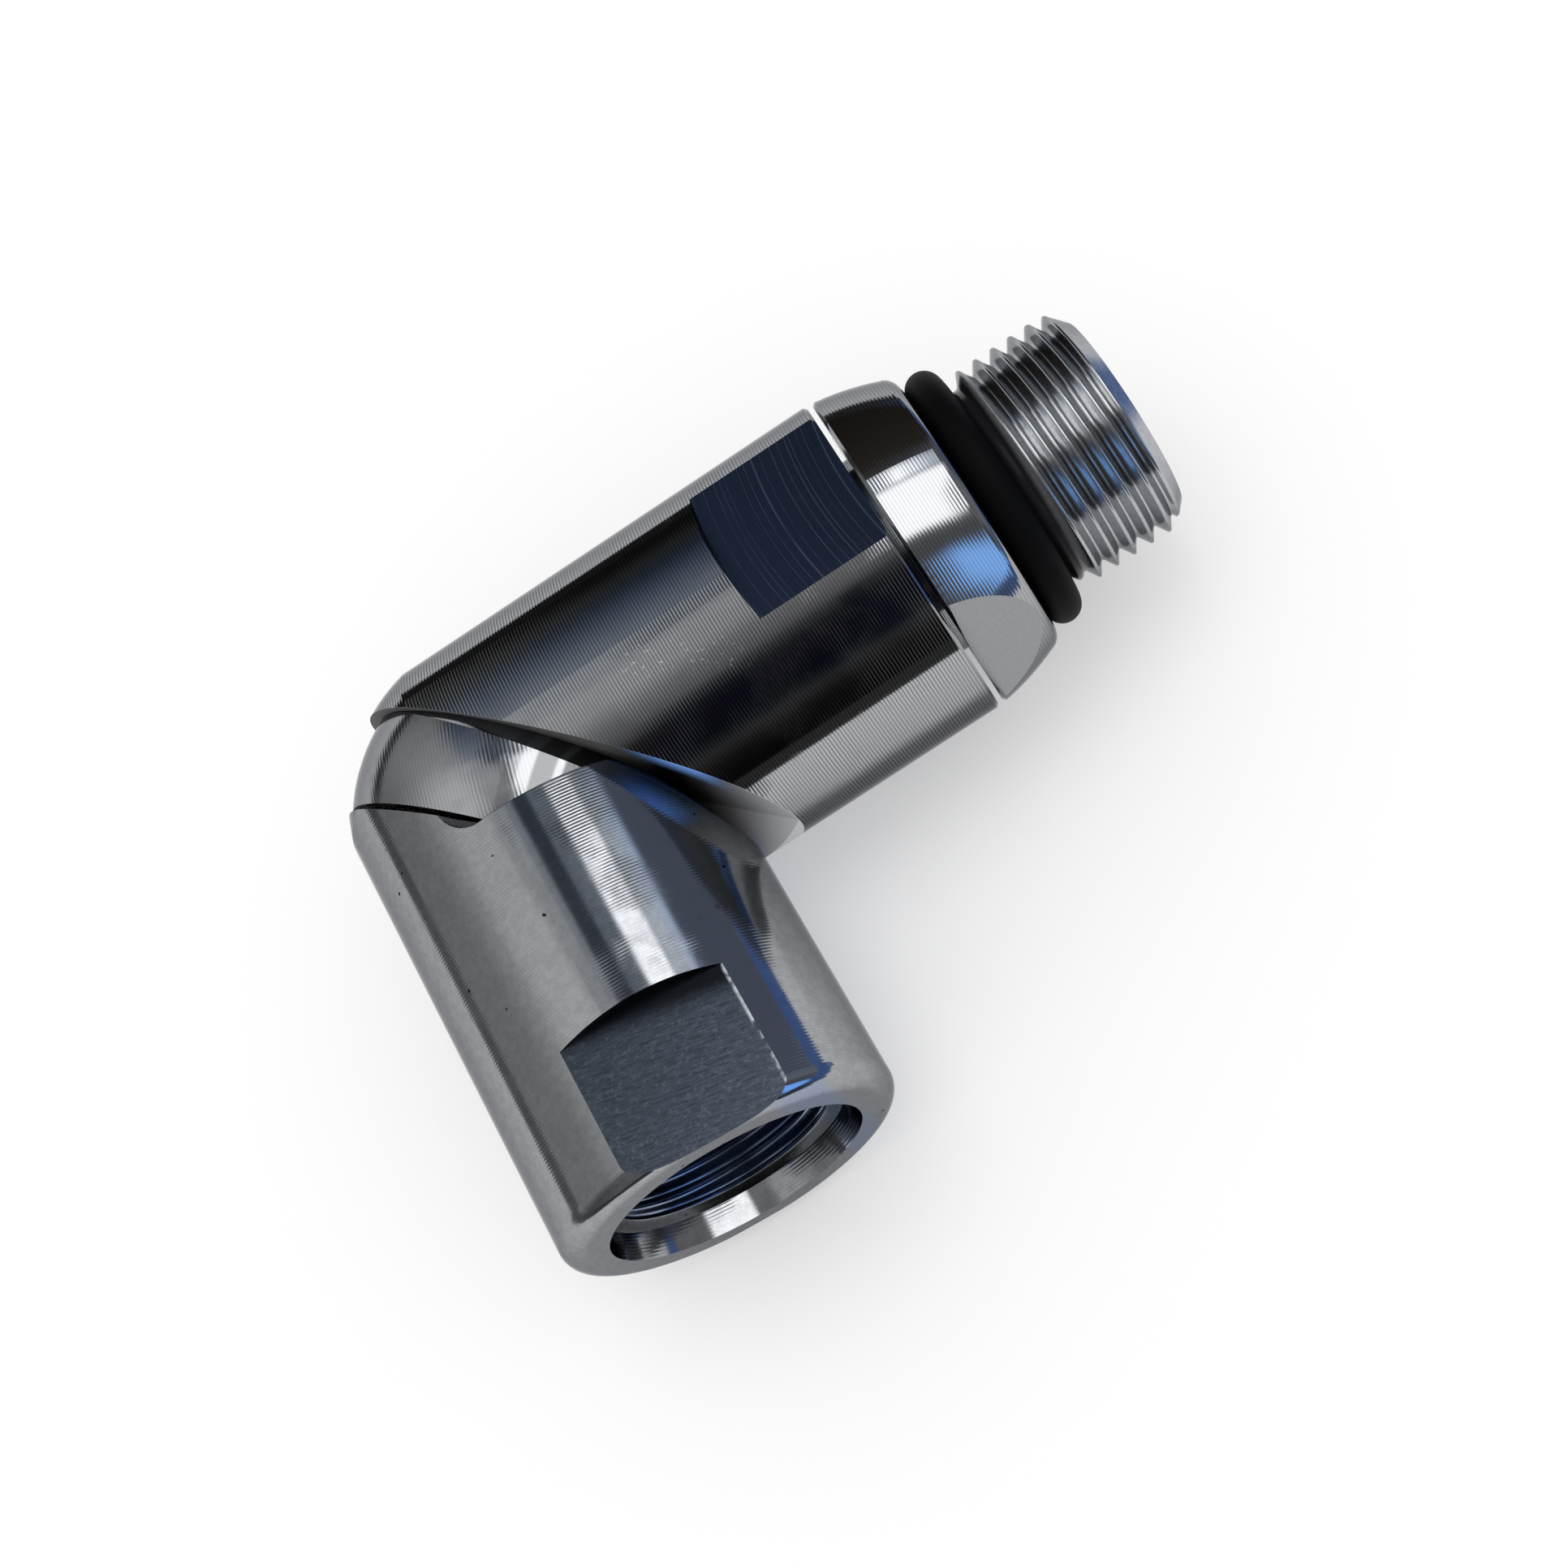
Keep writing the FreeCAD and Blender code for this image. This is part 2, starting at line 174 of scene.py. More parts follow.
# Shader node helper
class Graph:
    """Small helper that adds nodes to one material and joins them."""

    def __init__(self, tree):
        self.nodes = tree.nodes
        self.links = tree.links

    def put(self, socket, value):
        """Joins an output to the socket, or sets the socket's value; a colour may leave out its alpha."""
        if isinstance(value, bpy.types.NodeSocket):
            self.links.new(value, socket)
        elif socket.type == "RGBA" and len(value) == 3:
            socket.default_value = (*value, 1.0)
        else:
            socket.default_value = value

    def math(self, op, a, b=0.0, c=0.0):
        node = self.nodes.new("ShaderNodeMath")
        node.operation = op
        self.put(node.inputs[0], a)
        self.put(node.inputs[1], b)
        self.put(node.inputs[2], c)
        return node.outputs[0]

    def times(self, first, *others):
        """The product of two or more values."""
        for other in others:
            first = self.math("MULTIPLY", first, other)
        return first

    def plus(self, a, b):
        return self.math("ADD", a, b)

    def distance(self, value, place):
        """How far a value lies from a place, on either side."""
        return self.math("ABSOLUTE", self.math("SUBTRACT", value, place))

    def as_shade(self, height):
        """A height from -1 to 1 as a shade from 0 to 1."""
        return self.math("MULTIPLY_ADD", height, 0.5, 0.5)

    def step(self, value, low, high, smooth=True):
        """0 below low, 1 above high, and the other way round if low is above high."""
        node = self.nodes.new("ShaderNodeMapRange")
        node.interpolation_type = "SMOOTHSTEP" if smooth else "LINEAR"
        flip = low > high
        self.put(node.inputs["Value"], value)
        node.inputs["From Min"].default_value = min(low, high)
        node.inputs["From Max"].default_value = max(low, high)
        node.inputs["To Min"].default_value = 1.0 if flip else 0.0
        node.inputs["To Max"].default_value = 0.0 if flip else 1.0
        return node.outputs[0]

    def window(self, value, start, full, fall, end):
        """0 outside start and end, and 1 between full and fall."""
        return self.times(self.step(value, start, full), self.step(value, end, fall))

    def blend(self, data_type, socket_type, factor, a, b):
        """Mixes two values; a Mix node has one pair of sockets for each type."""
        node = self.nodes.new("ShaderNodeMix")
        node.data_type = data_type
        self.put(node.inputs["Factor"], factor)
        for name, value in (("A", a), ("B", b)):
            socket = [s for s in node.inputs if s.name == name and s.type == socket_type][0]
            self.put(socket, value)
        return [s for s in node.outputs if s.type == socket_type][0]

    def mix(self, factor, a, b):
        return self.blend("RGBA", "RGBA", factor, a, b)

    def mix_value(self, factor, a, b):
        return self.blend("FLOAT", "VALUE", factor, a, b)

    def mix_vector(self, factor, a, b):
        return self.blend("VECTOR", "VECTOR", factor, a, b)

    def lay(self, under, over, mask, strength=1.0):
        """The under colour, with the over colour laid on it where the mask is 1."""
        if strength != 1.0:
            mask = self.times(mask, strength)
        return self.mix(mask, under, over)

    def ramp(self, value, stops, low=-1.0, high=1.0):
        """The colour or grey at a value, from stops sorted by their place between low and high."""
        node = self.nodes.new("ShaderNodeValToRGB")
        self.put(node.inputs["Fac"], self.step(value, low, high, smooth=False))
        ramp = node.color_ramp
        while len(ramp.elements) < len(stops):
            ramp.elements.new(0.5)
        for element, (place, color) in zip(ramp.elements, stops):
            if not isinstance(color, tuple):
                color = (color, color, color)
            element.position = (place - low) / (high - low)
            element.color = (*color, 1.0)
        return node.outputs["Color"]

    def noise(self, vector, scale, detail, rough=0.5):
        node = self.nodes.new("ShaderNodeTexNoise")
        self.put(node.inputs["Vector"], vector)
        node.inputs["Scale"].default_value = scale
        node.inputs["Detail"].default_value = detail
        node.inputs["Roughness"].default_value = rough
        return node.outputs["Fac"]

    def marks(self, vector, scale, detail, rough, low, high):
        """Patches of noise: 0 below the low level and 1 above the high one, or the other way round."""
        return self.step(self.noise(vector, scale, detail, rough), low, high)

    def noise_line(self, value, scale, detail=2.0):
        """Noise that changes along one value only."""
        node = self.nodes.new("ShaderNodeTexNoise")
        node.noise_dimensions = "1D"
        self.put(node.inputs["W"], value)
        node.inputs["Scale"].default_value = scale
        node.inputs["Detail"].default_value = detail
        return node.outputs["Fac"]

    def vector_math(self, op, a, b=(0.0, 0.0, 0.0)):
        """The outputs of a vector node, called Vector and Value."""
        node = self.nodes.new("ShaderNodeVectorMath")
        node.operation = op
        self.put(node.inputs[0], a)
        self.put(node.inputs[1], b)
        return node.outputs

    def coords(self):
        return self.nodes.new("ShaderNodeTexCoord").outputs["Object"]

    def normal(self):
        return self.nodes.new("ShaderNodeTexCoord").outputs["Normal"]

    def split(self, vector):
        node = self.nodes.new("ShaderNodeSeparateXYZ")
        self.put(node.inputs[0], vector)
        return node.outputs

    def join(self, x, y):
        node = self.nodes.new("ShaderNodeCombineXYZ")
        self.put(node.inputs[0], x)
        self.put(node.inputs[1], y)
        return node.outputs[0]

    def bump(self, height, strength, distance, normal=None):
        node = self.nodes.new("ShaderNodeBump")
        node.inputs["Strength"].default_value = strength
        node.inputs["Distance"].default_value = distance
        self.put(node.inputs["Height"], height)
        if normal is not None:
            self.put(node.inputs["Normal"], normal)
        return node.outputs["Normal"]


def new_material(name):
    mat = bpy.data.materials.new(name)
    mat.use_nodes = True
    bsdf = mat.node_tree.nodes["Principled BSDF"]
    return mat, Graph(mat.node_tree), bsdf


# Materials
def shade(color, factor):
    return tuple(value * factor for value in color)


def metal(name):
    """Polished plated steel, a little darker than usual where it is seen at a slant."""
    mat, graph, bsdf = new_material(name)
    bsdf.inputs["Metallic"].default_value = 1.0
    bsdf.inputs["Specular Tint"].default_value = (EDGE_TINT, EDGE_TINT, EDGE_TINT * 1.03, 1)
    return mat, graph, bsdf


def plain(name, color, rough, metallic=0.0, specular=0.5):
    """One even colour, for pieces that have no marks."""
    mat, graph, bsdf = new_material(name)
    graph.put(bsdf.inputs["Base Color"], color)
    graph.put(bsdf.inputs["Roughness"], rough)
    graph.put(bsdf.inputs["Metallic"], metallic)
    graph.put(bsdf.inputs["Specular IOR Level"], specular)
    return mat


def arm_places(graph):
    """Distances along the stud arm, along the port arm and up, in millimetres from the elbow centre."""
    x, y, z = graph.split(graph.coords())
    a = graph.math("MULTIPLY_ADD", x, 1 / MM, -ELBOW.x / MM)
    b = graph.times(y, -1 / MM)
    c = graph.times(z, 1 / MM)
    return a, b, c


def stud_axis_distance(graph, b, c):
    return graph.math("SQRT", graph.plus(graph.times(b, b), graph.times(c, c)))


def along_turned(graph, a, b, angle):
    """The distance along a line that is turned by an angle from a towards b."""
    return graph.plus(graph.times(a, math.cos(angle)), graph.times(b, math.sin(angle)))


def milled(graph, direction):
    """1 on the two wrench flats that face the direction and its opposite, 0 elsewhere."""
    facing = graph.vector_math("DOT_PRODUCT", graph.normal(), direction)["Value"]
    square = graph.math("GREATER_THAN", graph.math("ABSOLUTE", facing), 0.9985)
    offset = graph.vector_math("SUBTRACT", graph.coords(), ELBOW)["Vector"]
    depth = graph.math("ABSOLUTE", graph.vector_math("DOT_PRODUCT", offset, direction)["Value"])
    below = graph.math("LESS_THAN", depth, (ACROSS_FLATS / 2 + 2 * NEAR) * MM)
    above = graph.math("GREATER_THAN", depth, (ACROSS_FLATS / 2 - 2 * NEAR) * MM)
    return graph.times(square, graph.times(below, above))


def turned_rings(graph, along, pitch, unevenness=1.0, axis=None):
    """Height from -1 to 1 of the fine rings that a lathe leaves; end faces across the axis stay plain."""
    wobble = graph.times(graph.noise(graph.coords(), 1500.0, 2.0), 1.2 * unevenness)
    rings = graph.math("SINE", graph.math("MULTIPLY_ADD", along, 2 * math.pi / pitch, wobble))
    if axis is None:
        return rings
    across = graph.math("ABSOLUTE", graph.split(graph.normal())[axis])
    return graph.times(rings, graph.step(across, 0.8, 0.5))


def finish(graph, bsdf, color, rough, normal):
    graph.put(bsdf.inputs["Base Color"], color)
    graph.put(bsdf.inputs["Roughness"], rough)
    graph.put(bsdf.inputs["Normal"], normal)


def less_metal(graph, bsdf, mask, specular):
    """Where the mask is 1 the surface is no metal and shines only as much as specular says."""
    graph.put(bsdf.inputs["Metallic"], graph.mix_value(mask, 1.0, 0.0))
    graph.put(bsdf.inputs["Specular IOR Level"], graph.mix_value(mask, 0.5, specular))


def scuffs(graph, a, b):
    """A scatter of small bright dents along a slanting line in the middle of the barrel."""
    slope, start, half_width, core = 0.55, -7.0, 2.2, 0.4
    off_line = graph.math("MULTIPLY_ADD", a, slope, graph.math("SUBTRACT", start, b))
    near = graph.step(graph.math("ABSOLUTE", off_line), half_width, core)
    span = graph.window(a, start=14.5, full=17.0, fall=24.5, end=27.0)
    dents = graph.marks(graph.coords(), scale=1900.0, detail=3.0, rough=0.75, low=0.60, high=0.68)
    return graph.times(dents, graph.times(near, span))


def barrel_flat(graph, coords, a, b, c, tilt):
    """Colour and normal of the barrel's flats: dark, with the arcs that a wide cutter leaves."""
    middle, line_edge, line_core = 0.5, 0.055, 0.015
    lateral = along_turned(graph, b, c, -tilt)
    sag = graph.times(lateral, lateral, -0.5 / FLAT_CUTTER)
    sweep = graph.plus(a, sag)
    jitter = graph.times(graph.noise_line(sweep, 0.9), 1.6)
    phase = graph.math("FRACT", graph.math("MULTIPLY_ADD", sweep, 1 / ARC_PITCH, jitter))
    line = graph.step(graph.distance(phase, middle), line_edge, line_core)
    line = graph.times(line, graph.marks(coords, scale=120.0, detail=2.0, rough=0.5, low=0.22, high=0.48))
    fine = graph.noise_line(graph.times(sweep, 9.0), 1.0)
    color = graph.mix(fine, *BARREL_FLAT)
    color = graph.lay(color, BARREL_FLAT_LINE, line, 0.5)
    return color, graph.bump(fine, 0.25, FINE)


def mitre_face(graph, a, b, c):
    """Mask and colour of the barrel's mitre face: satin, with painted shade that is dark in the pocket and
    pale towards the heel, and a painted blue sheen on its rim.
    """
    margin, lean, rim_width = 0.03, -0.25, 2.8
    limit = (MITRE_OFFSET + margin) * math.sqrt(2)
    mask = graph.math("LESS_THAN", graph.math("SUBTRACT", a, b), limit)
    span = graph.plus(a, b)
    place = graph.math("MULTIPLY_ADD", c, lean, graph.times(span, math.sqrt(0.5)))
    color = graph.ramp(place, PAINTED_POCKET_SHADE, *POCKET_SPAN)
    # Painted sheen: blue laid along the mitre face's rim, towards the heel.
    rim = graph.step(stud_axis_distance(graph, b, c), BAR_RADIUS - rim_width, BAR_RADIUS)
    rim = graph.times(rim, graph.window(span, start=18.0, full=26.5, fall=26.9, end=31.0))
    return mask, graph.lay(color, PAINTED_RIM_SHEEN, rim)


def barrel_steel():
    """Turned bar with sharp rings painted darker in their grooves, milled flats with the cutter's arcs,
    painted shade low on its side, and a satin mitre face with painted shade and a painted blue sheen.
    """
    mat, graph, bsdf = metal("barrel_turned_steel")
    coords = graph.coords()
    a, b, c = arm_places(graph)
    rings = turned_rings(graph, a, RING_PITCH, axis=0)
    fade = graph.marks(coords, scale=160.0, detail=2.0, rough=0.5, low=0.30, high=0.60)
    speck = graph.marks(coords, scale=2600.0, detail=2.0, rough=0.7, low=0.70, high=0.76)
    stain = graph.marks(coords, scale=420.0, detail=5.0, rough=0.65, low=0.50, high=0.80)
    height = graph.times(rings, graph.mix_value(fade, 0.45, 1.0))
    # Painted shade: a band low on the barrel's side, where c runs from about -9 to 2.5, is darkened towards
    # black.
    low_band_shade = graph.window(c, start=-9.0, full=-1.5, fall=0.0, end=2.5)
    # Painted shade of the lathe rings: darker in their grooves and lighter on their crests, in step with the
    # bump.
    color = graph.mix(graph.as_shade(height), shade(STEEL, 0.52), shade(STEEL, 1.34))
    color = graph.lay(color, shade(STEEL, 0.72), stain, 0.5)
    color = graph.lay(color, shade(STEEL, 1.7), speck, 0.35)
    color = graph.lay(color, DENT, scuffs(graph, a, b))
    # The painted shade is laid over the low band here.
    color = graph.lay(color, BLACK, low_band_shade, 0.55)
    normal = graph.bump(height, 0.5, RING_DEPTH)
    normal = graph.bump(graph.noise(coords, 5200.0, 3.0, 0.7), 0.03, FINE, normal)

    tilt = math.radians(BARREL_FLAT_TURN)
    flat = milled(graph, (0, -math.sin(tilt), math.cos(tilt)))
    flat_color, flat_normal = barrel_flat(graph, coords, a, b, c, tilt)
    color = graph.lay(color, flat_color, flat)
    normal = graph.mix_vector(flat, normal, flat_normal)

    mitre, mitre_color = mitre_face(graph, a, b, c)
    color = graph.lay(color, mitre_color, mitre)
    rough = graph.mix_value(stain, 0.07, 0.15)
    rough = graph.mix_value(flat, rough, 0.26)
    rough = graph.mix_value(mitre, rough, 0.5)
    # The mitre face is dull non-metal, so its painted shade and sheen show as written.
    less_metal(graph, bsdf, mitre, 0.04)
    finish(graph, bsdf, color, rough, normal)
    return mat


def knuckle_steel():
    """Turned ball, with rings round an axis that leans from the stud arm, and stripes of painted shade that
    break up its highlight.
    """
    mat, graph, bsdf = metal("knuckle_turned_steel")
    coords = graph.coords()
    a, b = arm_places(graph)[:2]
    along = along_turned(graph, a, b, math.radians(KNUCKLE_RING_TURN))
    rings = turned_rings(graph, along, KNUCKLE_RING_PITCH, 0.7)
    fade = graph.marks(coords, scale=220.0, detail=2.0, rough=0.5, low=0.35, high=0.60)
    stain = graph.marks(coords, scale=500.0, detail=5.0, rough=0.65, low=0.48, high=0.78)
    height = graph.times(rings, graph.mix_value(fade, 0.3, 1.0))
    # Painted shade of the lathe rings: darker in their grooves and lighter on their crests, in step with the
    # bump.
    color = graph.mix(graph.as_shade(height), shade(STEEL, 0.92), shade(STEEL, 1.06))
    color = graph.lay(color, shade(STEEL, 0.75), stain, 0.45)
    across = graph.times(graph.plus(a, b), math.sqrt(0.5))
    outer, inner = 0.25, -0.1
    # Painted shade: dark stripes along the mitre that break up the knuckle's highlight.
    for middle, half, depth in KNUCKLE_SHADE_STRIPES:
        shade_stripe = graph.step(graph.distance(across, middle), half + outer, half + inner)
        color = graph.lay(color, shade(STEEL, depth), shade_stripe)
    normal = graph.bump(height, 0.3, FINE)
    finish(graph, bsdf, color, graph.mix_value(stain, 0.13, 0.24), normal)
    return mat


def port_flat(graph, coords, a, b, c, tilt):
    """Colour and normal of the port's flats: brushed, blotchy, with a painted shadow at the start and paler
    at one edge.
    """
    lean, stretch = math.radians(9.0), 0.10
    grain = graph.join(graph.times(along_turned(graph, a, b, lean), stretch),
                       along_turned(graph, b, a, -lean))
    brushed = graph.noise(grain, 5.5, 6.0, 0.8)
    blotch = graph.marks(coords, scale=2300.0, detail=5.0, rough=0.75, low=0.50, high=0.68)
    gaps = graph.marks(coords, scale=700.0, detail=3.0, rough=0.5, low=0.42, high=0.58)
    start = PORT_LENGTH - PORT_FLAT_LENGTH
    # Painted shadow: a dark band at the flat's start, where the step shades it.
    shadow_slope, shadow_end, shadow_core = -0.14, 2.4, 0.2
    step_shadow = graph.step(graph.plus(b, graph.times(a, shadow_slope)), start + shadow_end, start + shadow_core)
    # Paler along one edge of the flat, in patches.
    pale_edge = graph.times(graph.step(along_turned(graph, a, c, tilt), 7.1, 7.4), gaps)
    color = graph.mix(graph.step(brushed, 0.32, 0.68), *PORT_FLAT)
    color = graph.lay(color, PORT_FLAT_BLOTCH, blotch, 0.6)
    color = graph.lay(color, PORT_FLAT_GLINT, graph.step(brushed, 0.66, 0.74), 0.7)
    color = graph.lay(color, PORT_FLAT_STEP_SHADOW, step_shadow, 0.95)
    color = graph.lay(color, PORT_FLAT_EDGE, pale_edge)
    return color, graph.bump(brushed, 0.35, FINE)


def port_steel():
    """Satin turned port, with a few pits, painted bluish shade down one side, painted shade on its shoulder,
    and brushed flats.
    """
    mat, graph, bsdf = metal("port_satin_steel")
    coords = graph.coords()
    a, b, c = arm_places(graph)
    rings = turned_rings(graph, b, RING_PITCH, 0.8)
    fade = graph.marks(coords, scale=200.0, detail=2.0, rough=0.5, low=0.40, high=0.65)
    stain = graph.marks(coords, scale=260.0, detail=5.0, rough=0.7, low=0.45, high=0.80)
    pit = graph.marks(coords, scale=900.0, detail=1.0, rough=0.4, low=0.228, high=0.200)
    mottle = graph.noise(coords, 1300.0, 6.0, 0.75)
    height = graph.times(rings, graph.mix_value(fade, 0.15, 0.8))
    # Painted shade: a band down one side of the port, tinted towards a bluish grey.
    side = graph.window(a, start=7.2, full=9.0, fall=11.4, end=12.6)
    # Painted shade: the shoulder facing the barrel is painted dark and dull, where shade falls between the
    # parts.
    facing = graph.split(graph.normal())[1]
    shoulder = graph.times(graph.step(facing, 0.2, 0.35), graph.step(a, 4.0, 9.0), graph.step(b, 22.0, 19.0))
    # Painted shade of the lathe rings: darker in their grooves and lighter on their crests, in step with the
    # bump.
    color = graph.mix(graph.as_shade(height), shade(STEEL, 0.93), shade(STEEL, 1.07))
    color = graph.mix(graph.step(mottle, 0.35, 0.65), shade(STEEL, 0.84), color)
    color = graph.lay(color, shade(STEEL, 0.70), stain, 0.4)
    color = graph.lay(color, PIT, pit)
    color = graph.lay(color, PORT_SIDE_SHADE, side, 0.8)
    color = graph.lay(color, PORT_SHOULDER_SHADE, shoulder)
    normal = graph.bump(height, 0.32, FINE)
    normal = graph.bump(mottle, 0.08, FINE, normal)

    tilt = math.radians(PORT_FLAT_TURN)
    flat = milled(graph, (-math.sin(tilt), 0, math.cos(tilt)))
    flat_color, flat_normal = port_flat(graph, coords, a, b, c, tilt)
    rough = graph.mix_value(stain, 0.09, 0.17)
    rough = graph.mix_value(shoulder, rough, 0.45)
    rough = graph.mix_value(flat, rough, 0.30)
    less_metal(graph, bsdf, shoulder, 0.0)
    finish(graph, bsdf, graph.lay(color, flat_color, flat), rough,
           graph.mix_vector(flat, normal, flat_normal))
    return mat


def stem_steel():
    """Turned collar with fine rings and two satin flats, and painted shade on the neck under the sealing
    ring.
    """
    mat, graph, bsdf = metal("stem_turned_steel")
    a, b, c = arm_places(graph)
    rings = turned_rings(graph, a, RING_PITCH, 0.5, axis=0)
    grain = graph.noise(graph.coords(), 2600.0, 5.0, 0.75)
    tilt = math.radians(COLLAR_FLAT_TURN)
    flat = milled(graph, (0, -math.sin(tilt), math.cos(tilt)))
    radius = stud_axis_distance(graph, b, c)
    # Painted shade: the neck under the sealing ring is painted near black.
    neck = graph.times(graph.math("LESS_THAN", radius, UNDERCUT_RADIUS + NEAR),
                       graph.math("GREATER_THAN", radius, UNDERCUT_RADIUS - NEAR))
    # Painted shade of the lathe rings: darker in their grooves and lighter on their crests, in step with the
    # bump.
    color = graph.mix(graph.as_shade(rings), shade(STEEL, 0.82), shade(STEEL, 1.12))
    color = graph.lay(color, graph.mix(grain, shade(STEEL, 0.78), shade(STEEL, 1.05)), flat)
    color = graph.lay(color, NECK_SHADE, neck)
    rough = graph.mix_value(neck, graph.mix_value(flat, 0.10, 0.34), 0.5)
    normal = graph.mix_vector(flat, graph.bump(rings, 0.5, COLLAR_RING_DEPTH), graph.bump(grain, 0.35, FINE))
    finish(graph, bsdf, color, rough, normal)
    return mat


def thread_steel(name, color, rough, shaded_start=False):
    """Cut thread, a little torn along its flanks; the stud's has painted shade where it runs in."""
    mat, graph, bsdf = metal(name)
    tear = graph.noise(graph.coords(), 1800.0, 4.0, 0.7)
    paint = graph.mix(tear, shade(color, 0.70), shade(color, 1.20))
    if shaded_start:
        a = arm_places(graph)[0]
        # Painted shade where the stud's thread runs in from the undercut next to the sealing ring.
        pale_from, dark_to = STUD_START + 2.1, STUD_START + 1.1
        run_in = graph.step(a, pale_from, dark_to)
        paint = graph.lay(paint, NECK_SHADE, run_in)
        less_metal(graph, bsdf, run_in, 0.1)
    finish(graph, bsdf, paint, graph.mix_value(tear, rough, rough + 0.08), graph.bump(tear, 0.25, FINE))
    return mat


BARREL = barrel_steel()
KNUCKLE = knuckle_steel()
PORT = port_steel()
STEM = stem_steel()
STUD_THREAD = thread_steel("stud_thread_steel", shade(STEEL, 1.35), 0.13, shaded_start=True)
PORT_THREAD = thread_steel("port_thread_steel", PORT_THREAD_COLOR, 0.16)
BALLS = plain("ball_steel", (0.7, 0.7, 0.72), 0.08, metallic=1.0)
PLUGS = plain("plug_steel", (0.25, 0.25, 0.26), 0.3, metallic=1.0)
RUBBER = plain("black_rubber", (0.002, 0.002, 0.0024), 0.6, specular=0.06)
PTFE = plain("white_ptfe", (0.8, 0.8, 0.78), 0.4)
NODE_MATERIALS = {
    "swivel_barrel": BARREL,
    "elbow_knuckle": KNUCKLE,
    "rear_ball_row": BALLS,
    "front_ball_row": BALLS,
    "rear_loading_plug": PLUGS,
    "front_loading_plug": PLUGS,
    "thrust_washer": plain("bearing_bronze", (0.5, 0.34, 0.16), 0.3, metallic=1.0),
    "port_o_ring": RUBBER,
    "stem_seal": RUBBER,
    "dust_seal": plain("brown_rubber", (0.06, 0.03, 0.02), 0.5),
    "inner_backup_ring": PTFE,
    "outer_backup_ring": PTFE,
    "guide_ring": plain("guide_plastic", (0.1, 0.16, 0.22), 0.6),
}
for node_name, material in NODE_MATERIALS.items():
    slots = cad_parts[node_name].data.materials
    slots.clear()
    slots.append(material)


# Threads
CREST_FLAT = 0.10
ROOT_FLAT = 0.13
FLANK_ROWS = (0.18, 0.30, 0.40)
# Places of the rows of vertices over one pitch, from the middle of a root over the crest to the next root.
PROFILE = (0.0, ROOT_FLAT / 2, *FLANK_ROWS, 0.5 - CREST_FLAT / 2, 0.5 + CREST_FLAT / 2,
           *(1.0 - row for row in reversed(FLANK_ROWS)), 1.0 - ROOT_FLAT / 2)


def thread_height(fraction):
    """0 at the root and 1 at the crest of a sixty-degree thread, over one pitch."""
    slope = (1.0 - CREST_FLAT - ROOT_FLAT) / 2
    from_root = min(fraction, 1.0 - fraction) - ROOT_FLAT / 2
    return min(1.0, max(0.0, from_root / slope))


def helix(start, end, radius_at, place):
    """Vertices and faces of a helical thread between two places; radius_at gives the radius."""
    turns = int((end - start) / THREAD_PITCH) + 3
    first = start - 1.5 * THREAD_PITCH
    rows = [(first + (turn + fraction) * THREAD_PITCH, thread_height(fraction))
            for turn in range(turns) for fraction in PROFILE]
    verts = []
    for step in range(STEPS_ROUND + 1):
        turned = step / STEPS_ROUND
        for row, height in rows:
            along = min(max(row + THREAD_PITCH * turned, start), end)
            verts.append(place(along, radius_at(along, height), 2 * math.pi * turned))
    size = len(rows)
    faces = []
    for step in range(STEPS_ROUND):
        for row in range(size - 1):
            corner = step * size + row
            faces.append((corner, corner + size, corner + size + 1, corner + 1))
    return verts, faces


def threaded_copy(name, source, drop, verts, faces, body_material, thread_material):
    """A copy of a CAD node without the faces that drop picks, with a thread joined in."""
    mesh = source.data.copy()
    mesh.name = name
    # The materials come first, because clearing them later would reset the faces' slots.
    mesh.materials.clear()
    mesh.materials.append(body_material)
    mesh.materials.append(thread_material)
    work = bmesh.new()
    work.from_mesh(mesh)
    dropped = [face for face in work.faces if drop(face)]
    bmesh.ops.delete(work, geom=dropped, context="FACES")
    layer = [work.verts.new(place) for place in verts]
    for corners in faces:
        face = work.faces.new([layer[k] for k in corners])
        face.material_index = 1
        face.smooth = True
    bmesh.ops.remove_doubles(work, verts=layer, dist=WELD_DISTANCE)
    work.to_mesh(mesh)
    work.free()
    obj = bpy.data.objects.new(name, mesh)
    bpy.context.scene.collection.objects.link(obj)
    return obj


def stud_place(along, radius, angle):
    across, up = -radius * math.sin(angle), radius * math.cos(angle)
    return ELBOW + Vector((along, across, up)) * MM


def port_place(along, radius, angle):
    across, up = radius * math.sin(angle), radius * math.cos(angle)
    return ELBOW + Vector((across, -along, up)) * MM


def stud_radius_at(along, height):
    full = STUD_ROOT + (STUD_RADIUS - STUD_ROOT) * height
    run_in = min(1.0, max(0.0, (along - STUD_START) / STUD_RUN_IN))
    radius = UNDERCUT_RADIUS + (full - UNDERCUT_RADIUS) * run_in
    chamfer = STUD_TIP_RADIUS + (STUD_END - along) * (STUD_RADIUS - STUD_TIP_RADIUS) / STUD_TIP_LENGTH
    return min(radius, chamfer)


def port_radius_at(along, height):
    depth = min(1.0, (PORT_THREAD_TOP - along) / PORT_FADE, (along - PORT_THREAD_END) / PORT_RUN_IN)
    return PORT_MINOR + (PORT_MAJOR - PORT_MINOR) * max(0.0, depth) * (1 - height)


